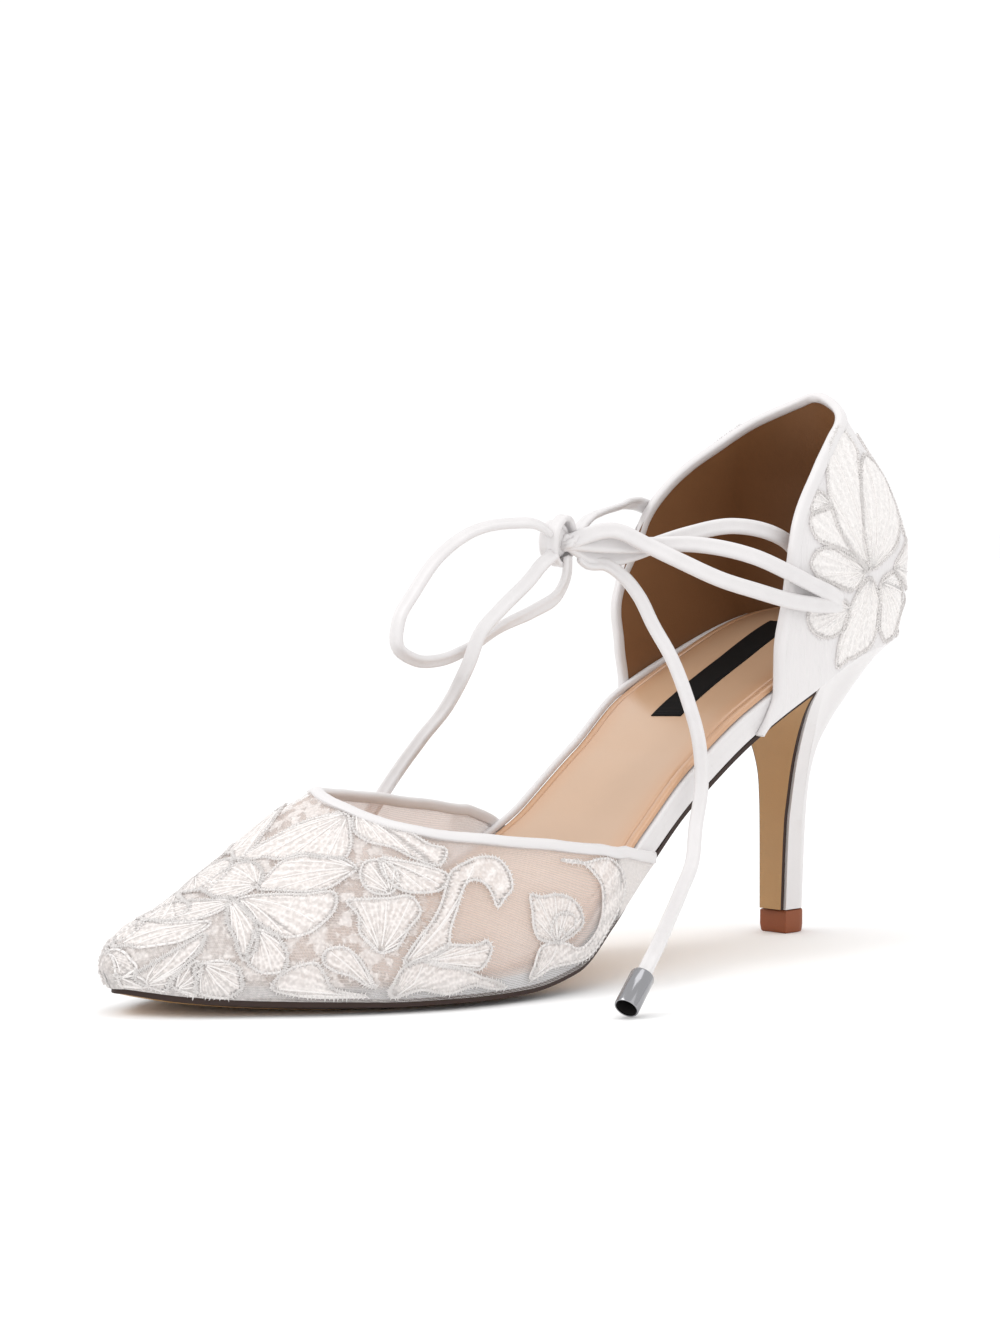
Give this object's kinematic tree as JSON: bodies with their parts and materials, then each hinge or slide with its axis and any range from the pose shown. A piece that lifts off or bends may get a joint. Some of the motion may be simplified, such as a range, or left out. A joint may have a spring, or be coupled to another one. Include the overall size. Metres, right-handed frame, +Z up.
{
  "type": "lace up high heel shoe",
  "caption": "Left pointed court shoe with a lace covered vamp, separate heel counter, stiletto heel and a tied ankle lace with metal ends",
  "frame": {"origin": "middle of the heel's top piece on the floor, the heel_rest mount", "axes": "+Z up, toe along -Y, outer side of the foot along +X; the shoe stands on Z = 0"},
  "size_m": [0.1286, 0.2493, 0.1413],
  "materials": {
    "satin": "white satin",
    "lace_mesh": "embroidered white mesh",
    "lace_cord": "soft white satin cord",
    "tan_lining": "smooth tan lining",
    "sole_leather": "tan sole with a dark edge",
    "top_piece": "hard brown",
    "chrome": "polished"
  },
  "bodies": {
    "root": {"outsole": "sole_leather", "insole_board": "satin", "sock_lining": "tan_lining", "vamp": "lace_mesh", "counter": "satin", "heel": "satin", "top_piece": "top_piece", "lace_near": "lace_cord", "lace_far": "lace_cord", "lace_knot": "lace_cord", "lace_loop": "lace_cord", "lace_tail_near": "lace_cord", "lace_tail_far": "lace_cord", "lace_end_near": "chrome", "lace_end_far": "chrome"}
  },
  "joints": []
}
